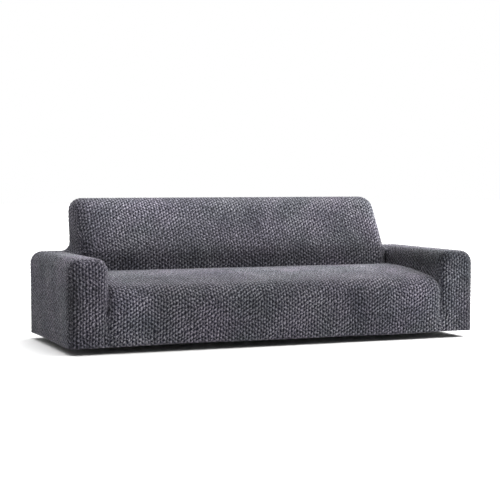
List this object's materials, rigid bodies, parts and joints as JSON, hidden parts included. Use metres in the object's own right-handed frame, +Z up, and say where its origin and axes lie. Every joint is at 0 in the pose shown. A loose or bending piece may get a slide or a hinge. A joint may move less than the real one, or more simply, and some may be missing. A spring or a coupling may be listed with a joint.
{
  "type": "sofa slipcover",
  "caption": "Fitted stretch cover for a long sofa, in puckered dark-grey cloth: seat, back and both arms in one hollow shell, open at its hem.",
  "frame": {"origin": "underside of the cloth at mid length along the top of the back, where the sofa holds the cover", "axes": "+X along the sofa, to the right for someone who looks at its front; +Y towards its rear; +Z up"},
  "size_m": [2.43, 0.9858, 0.7745],
  "materials": {
    "cloth": "matt, puckered two-way stretch knit"
  },
  "bodies": {
    "root": {"seat_panel": "cloth", "back_inner": "cloth", "back_outer": "cloth", "arm_left": "cloth", "arm_right": "cloth", "arm_front_left": "cloth", "arm_front_right": "cloth", "back_side_left": "cloth", "back_side_right": "cloth"}
  },
  "joints": []
}
